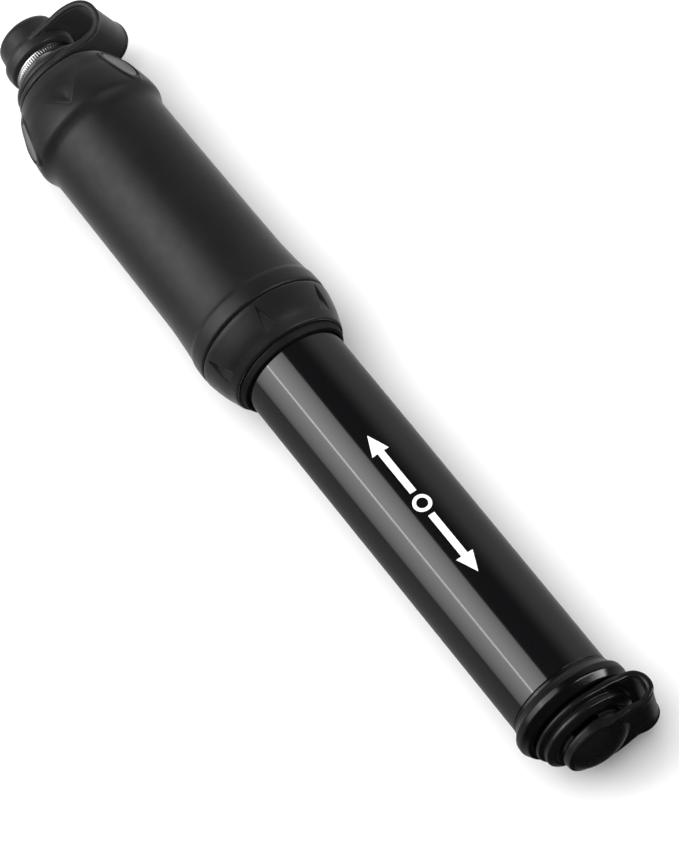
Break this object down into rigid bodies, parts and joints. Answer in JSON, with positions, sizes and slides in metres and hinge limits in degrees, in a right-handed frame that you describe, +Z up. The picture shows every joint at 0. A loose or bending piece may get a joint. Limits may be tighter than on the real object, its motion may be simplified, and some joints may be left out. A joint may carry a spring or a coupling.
{
  "type": "mini bicycle pump",
  "caption": "Telescoping mini pump: sleeve handle with stored hose slides over a black barrel; looped rubber caps close both ends.",
  "frame": {"origin": "middle of the base of the pump's box, with the pump lying on its side, handle pushed in and both caps on", "axes": "+X along the pump from the handle end to the port end, +Y towards the cap loops, +Z up"},
  "size_m": [0.2, 0.0318, 0.0295],
  "materials": {
    "soft_grip": "matte soft-touch moulded rubber",
    "collar_rubber": "matte soft-touch moulded rubber",
    "inlay_rubber": "satin mid-grey rubber inlay",
    "barrel_black": "gloss black anodised",
    "shaft_aluminium": "drawn tube",
    "end_black": "gloss black moulding",
    "cap_rubber": "satin black rubber",
    "nylon_black": "black glass-filled nylon",
    "acetal_white": "natural acetal",
    "seal_rubber": "black nitrile",
    "hose_rubber": "black reinforced hose",
    "steel": "spring wire",
    "chrome": "bright plated",
    "brass": "turned"
  },
  "bodies": {
    "barrel": {"barrel_tube": "barrel_black", "barrel_bush": "acetal_white", "port_housing": "end_black", "port_seal": "seal_rubber", "port_insert": "brass", "valve_spring": "steel", "port_cap_ring": "cap_rubber", "port_cap_strap": "cap_rubber"},
    "valve": {"valve_poppet": "acetal_white"},
    "piston": {"piston_head": "nylon_black", "piston_seal": "seal_rubber"},
    "handle": {"handle_grip": "soft_grip", "handle_core": "barrel_black", "handle_head": "nylon_black", "shaft_tube": "shaft_aluminium", "grip_inlay_1": "inlay_rubber", "grip_inlay_2": "inlay_rubber", "grip_inlay_3": "inlay_rubber", "collar": "collar_rubber", "wiper_ring": "seal_rubber", "collar_bush": "acetal_white", "chuck_body": "chrome", "chuck_gasket": "seal_rubber", "hose_ferrule_chuck": "chrome", "hose_tube": "hose_rubber", "hose_ferrule_thread": "chrome", "hose_fitting": "brass", "fitting_seal": "seal_rubber", "hose_cap_ring": "cap_rubber", "hose_cap_strap": "cap_rubber"},
    "chuck": {"chuck_nut": "chrome"},
    "hose_cap": {"hose_cap": "cap_rubber"},
    "port_cap": {"port_cap": "cap_rubber"}
  },
  "joints": [
    {"name": "pump_stroke", "type": "slide", "parent": "barrel", "child": "piston", "axis": [-1, 0, 0], "range_m": [0, 0.056]},
    {"name": "handle_spin", "type": "hinge", "parent": "piston", "child": "handle", "pos_m": [0, -0.00118, 0.01475], "axis": [1, 0, 0], "continuous": true},
    {"name": "chuck_spin", "type": "hinge", "parent": "handle", "child": "chuck", "pos_m": [0, -0.00118, 0.01475], "axis": [1, 0, 0], "continuous": true},
    {"name": "hose_cap_hinge", "type": "hinge", "parent": "handle", "child": "hose_cap", "pos_m": [-0.09055, 0.01013, 0.01654], "axis": [0, 0.1564, -0.9877], "range_deg": [0, 105], "stiffness_Nm_per_rad": 0.002, "springref_deg": -5.73, "deforming": ["hose_cap_strap"]},
    {"name": "port_cap_hinge", "type": "hinge", "parent": "barrel", "child": "port_cap", "pos_m": [0.0957, 0.00828, 0.01342], "axis": [0, 0.1392, 0.9903], "range_deg": [0, 105], "stiffness_Nm_per_rad": 0.002, "springref_deg": -5.73, "deforming": ["port_cap_strap"]},
    {"name": "valve_lift", "type": "slide", "parent": "barrel", "child": "valve", "axis": [1, 0, 0], "range_m": [0, 0.0008], "stiffness_N_per_m": 40, "springref_m": -0.001, "deforming": ["valve_spring"]}
  ]
}
